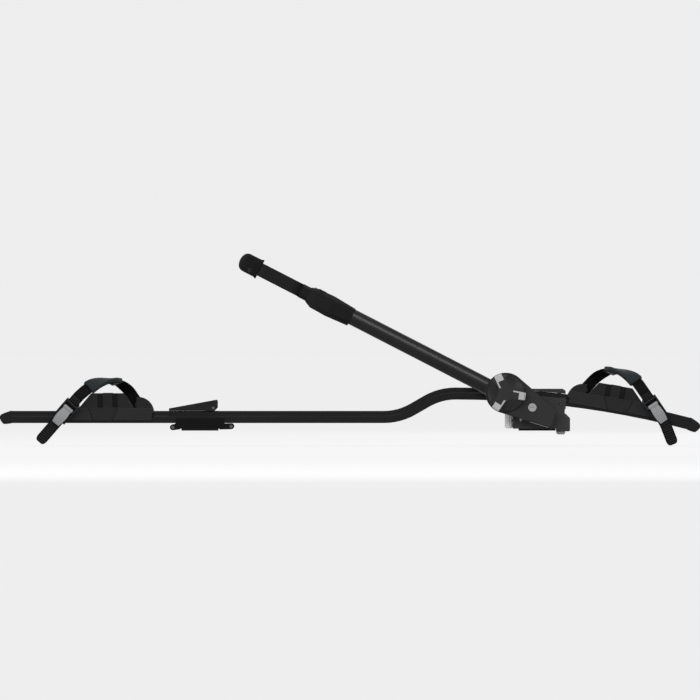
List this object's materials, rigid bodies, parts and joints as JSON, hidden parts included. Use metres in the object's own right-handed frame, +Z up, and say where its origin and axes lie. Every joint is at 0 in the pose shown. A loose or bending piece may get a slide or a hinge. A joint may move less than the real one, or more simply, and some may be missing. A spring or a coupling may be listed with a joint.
{
  "type": "roof mounted bike carrier",
  "caption": "Bent black rail on roof bar feet with strapped wheel trays and a folding arm whose knob closes a pair of jaws on a bicycle's frame.",
  "frame": {"origin": "centre of the rear foot's rubber seat on its roof bar", "axes": "+X along the rail to the rear of the vehicle, -Y towards the side with the knob, +Z up"},
  "size_m": [1.4551, 0.166, 0.3993],
  "materials": {
    "rail_black": "black anodised, satin",
    "black_plastic": "fine grain",
    "rubber": "matt",
    "grey_plastic": "satin",
    "strap_plastic": "satin",
    "soft_pad": "matt",
    "arm_black": "black powder coat, satin",
    "zinc": "plated",
    "bush_plastic": "smooth",
    "dark_steel": "blackened",
    "steel": "zinc plated"
  },
  "bodies": {
    "rail": {"rail": "rail_black", "front_end_cap": "black_plastic", "rear_end_cap": "black_plastic", "rear_foot_body": "black_plastic", "rear_bar_pad": "rubber", "rear_clamp_plate": "black_plastic", "rear_clamp_bolts": "steel", "rear_clamp_nuts": "steel", "rear_bar_hook": "zinc", "arm_pivot_bolt": "steel", "arm_pivot_nut": "steel", "rear_tray": "black_plastic", "rear_tray_bolt": "steel", "rear_tray_nut": "steel", "rear_strap": "strap_plastic", "rear_rim_pad": "soft_pad", "rear_strap_pin": "steel", "rear_buckle": "black_plastic", "rear_buckle_pins": "steel"},
    "front_foot": {"front_foot_base": "black_plastic", "front_bar_pad": "rubber", "front_strap_pins": "steel", "front_draw_bolt": "steel", "front_draw_nut": "steel", "front_cam_plate": "dark_steel"},
    "front_lever": {"front_lever": "black_plastic", "front_lever_pin": "steel"},
    "front_tray": {"front_tray": "black_plastic", "front_tray_bolt": "steel", "front_tray_nut": "steel", "front_strap": "strap_plastic", "front_rim_pad": "soft_pad", "front_strap_pin": "steel", "front_buckle": "black_plastic", "front_buckle_pins": "steel"},
    "front_grip": {"front_buckle_grip": "grey_plastic"},
    "rear_grip": {"rear_buckle_grip": "grey_plastic"},
    "tension_barrel": {"tension_barrel": "zinc"},
    "draw_screw": {"draw_screw": "steel"},
    "arm": {"arm_housing": "black_plastic", "arm_cover": "black_plastic", "cover_screws": "dark_steel", "arm_bush": "bush_plastic", "arm_tube": "arm_black", "tube_rivets": "steel", "jaw_hub": "black_plastic", "fixed_jaw": "black_plastic", "fixed_jaw_pad": "rubber", "fixed_jaw_boot": "rubber", "jaw_hinge_pin": "steel", "lock_barrel": "zinc"},
    "knob": {"knob": "black_plastic", "knob_accents": "grey_plastic", "knob_shaft": "steel"},
    "pull_rod": {"pull_rod": "steel"},
    "moving_jaw": {"moving_jaw": "black_plastic", "moving_jaw_pad": "rubber", "moving_jaw_boot": "rubber"},
    "lock_plug": {"lock_plug": "zinc"},
    "arm_catch": {"arm_catch": "grey_plastic"}
  },
  "joints": [
    {"name": "front_foot_slide", "type": "slide", "parent": "rail", "child": "front_foot", "axis": [1, 0, 0], "range_m": [-0.012, 0.15]},
    {"name": "front_lever_hinge", "type": "hinge", "parent": "front_foot", "child": "front_lever", "pos_m": [-0.672, 0, 0.047], "axis": [0, 1, 0], "range_deg": [0, 45]},
    {"name": "front_tray_slide", "type": "slide", "parent": "rail", "child": "front_tray", "axis": [1, 0, 0], "range_m": [-0.085, 0.012]},
    {"name": "front_grip_hinge", "type": "hinge", "parent": "front_tray", "child": "front_grip", "pos_m": [-0.97245, -0.0536, 0.04583], "axis": [-0.7547, 0, 0.6561], "range_deg": [0, 40], "stiffness_Nm_per_rad": 0.12, "springref_deg": -17.19},
    {"name": "rear_grip_hinge", "type": "hinge", "parent": "rail", "child": "rear_grip", "pos_m": [0.23958, -0.0536, 0.05263], "axis": [-0.8271, 0, -0.5621], "range_deg": [0, 40], "stiffness_Nm_per_rad": 0.12, "springref_deg": -17.19},
    {"name": "barrel_turn", "type": "hinge", "parent": "rail", "child": "tension_barrel", "pos_m": [-0.0585, 0, 0.0045], "axis": [0, 0, 1], "range_deg": [0, 1080]},
    {"name": "draw_screw_slide", "type": "slide", "parent": "rail", "child": "draw_screw", "axis": [0, 0, 1], "range_m": [0, 0.006]},
    {"name": "arm_hinge", "type": "hinge", "parent": "rail", "child": "arm", "pos_m": [0.0166, 0, 0.0301], "axis": [0, 1, 0], "range_deg": [-12, 48]},
    {"name": "knob_turn", "type": "hinge", "parent": "arm", "child": "knob", "pos_m": [-0.06605, -0.09, 0.0782], "axis": [0, 1, 0], "range_deg": [0, 308.57]},
    {"name": "rod_slide", "type": "slide", "parent": "arm", "child": "pull_rod", "axis": [-0.8894, 0, 0.4571], "range_m": [0, 0.02694]},
    {"name": "jaw_hinge", "type": "hinge", "parent": "arm", "child": "moving_jaw", "pos_m": [-0.4539, -0.018, 0.2719], "axis": [-0.4571, 0, -0.8894], "range_deg": [0, 40]},
    {"name": "lock_turn", "type": "hinge", "parent": "arm", "child": "lock_plug", "pos_m": [-0.01115, -0.078, 0.0483], "axis": [0, 1, 0], "range_deg": [0, 90]},
    {"name": "catch_push", "type": "slide", "parent": "arm", "child": "arm_catch", "axis": [0.4571, 0, 0.8894], "range_m": [0, 0.004], "stiffness_N_per_m": 400, "springref_m": -0.004}
  ],
  "couplings": [
    {"joint": "draw_screw_slide", "follows": "barrel_turn", "m_per_rad": 0.00031831},
    {"joint": "rod_slide", "follows": "knob_turn", "m_per_rad": 0.005},
    {"joint": "jaw_hinge", "follows": "knob_turn", "ratio": 0.12963}
  ]
}
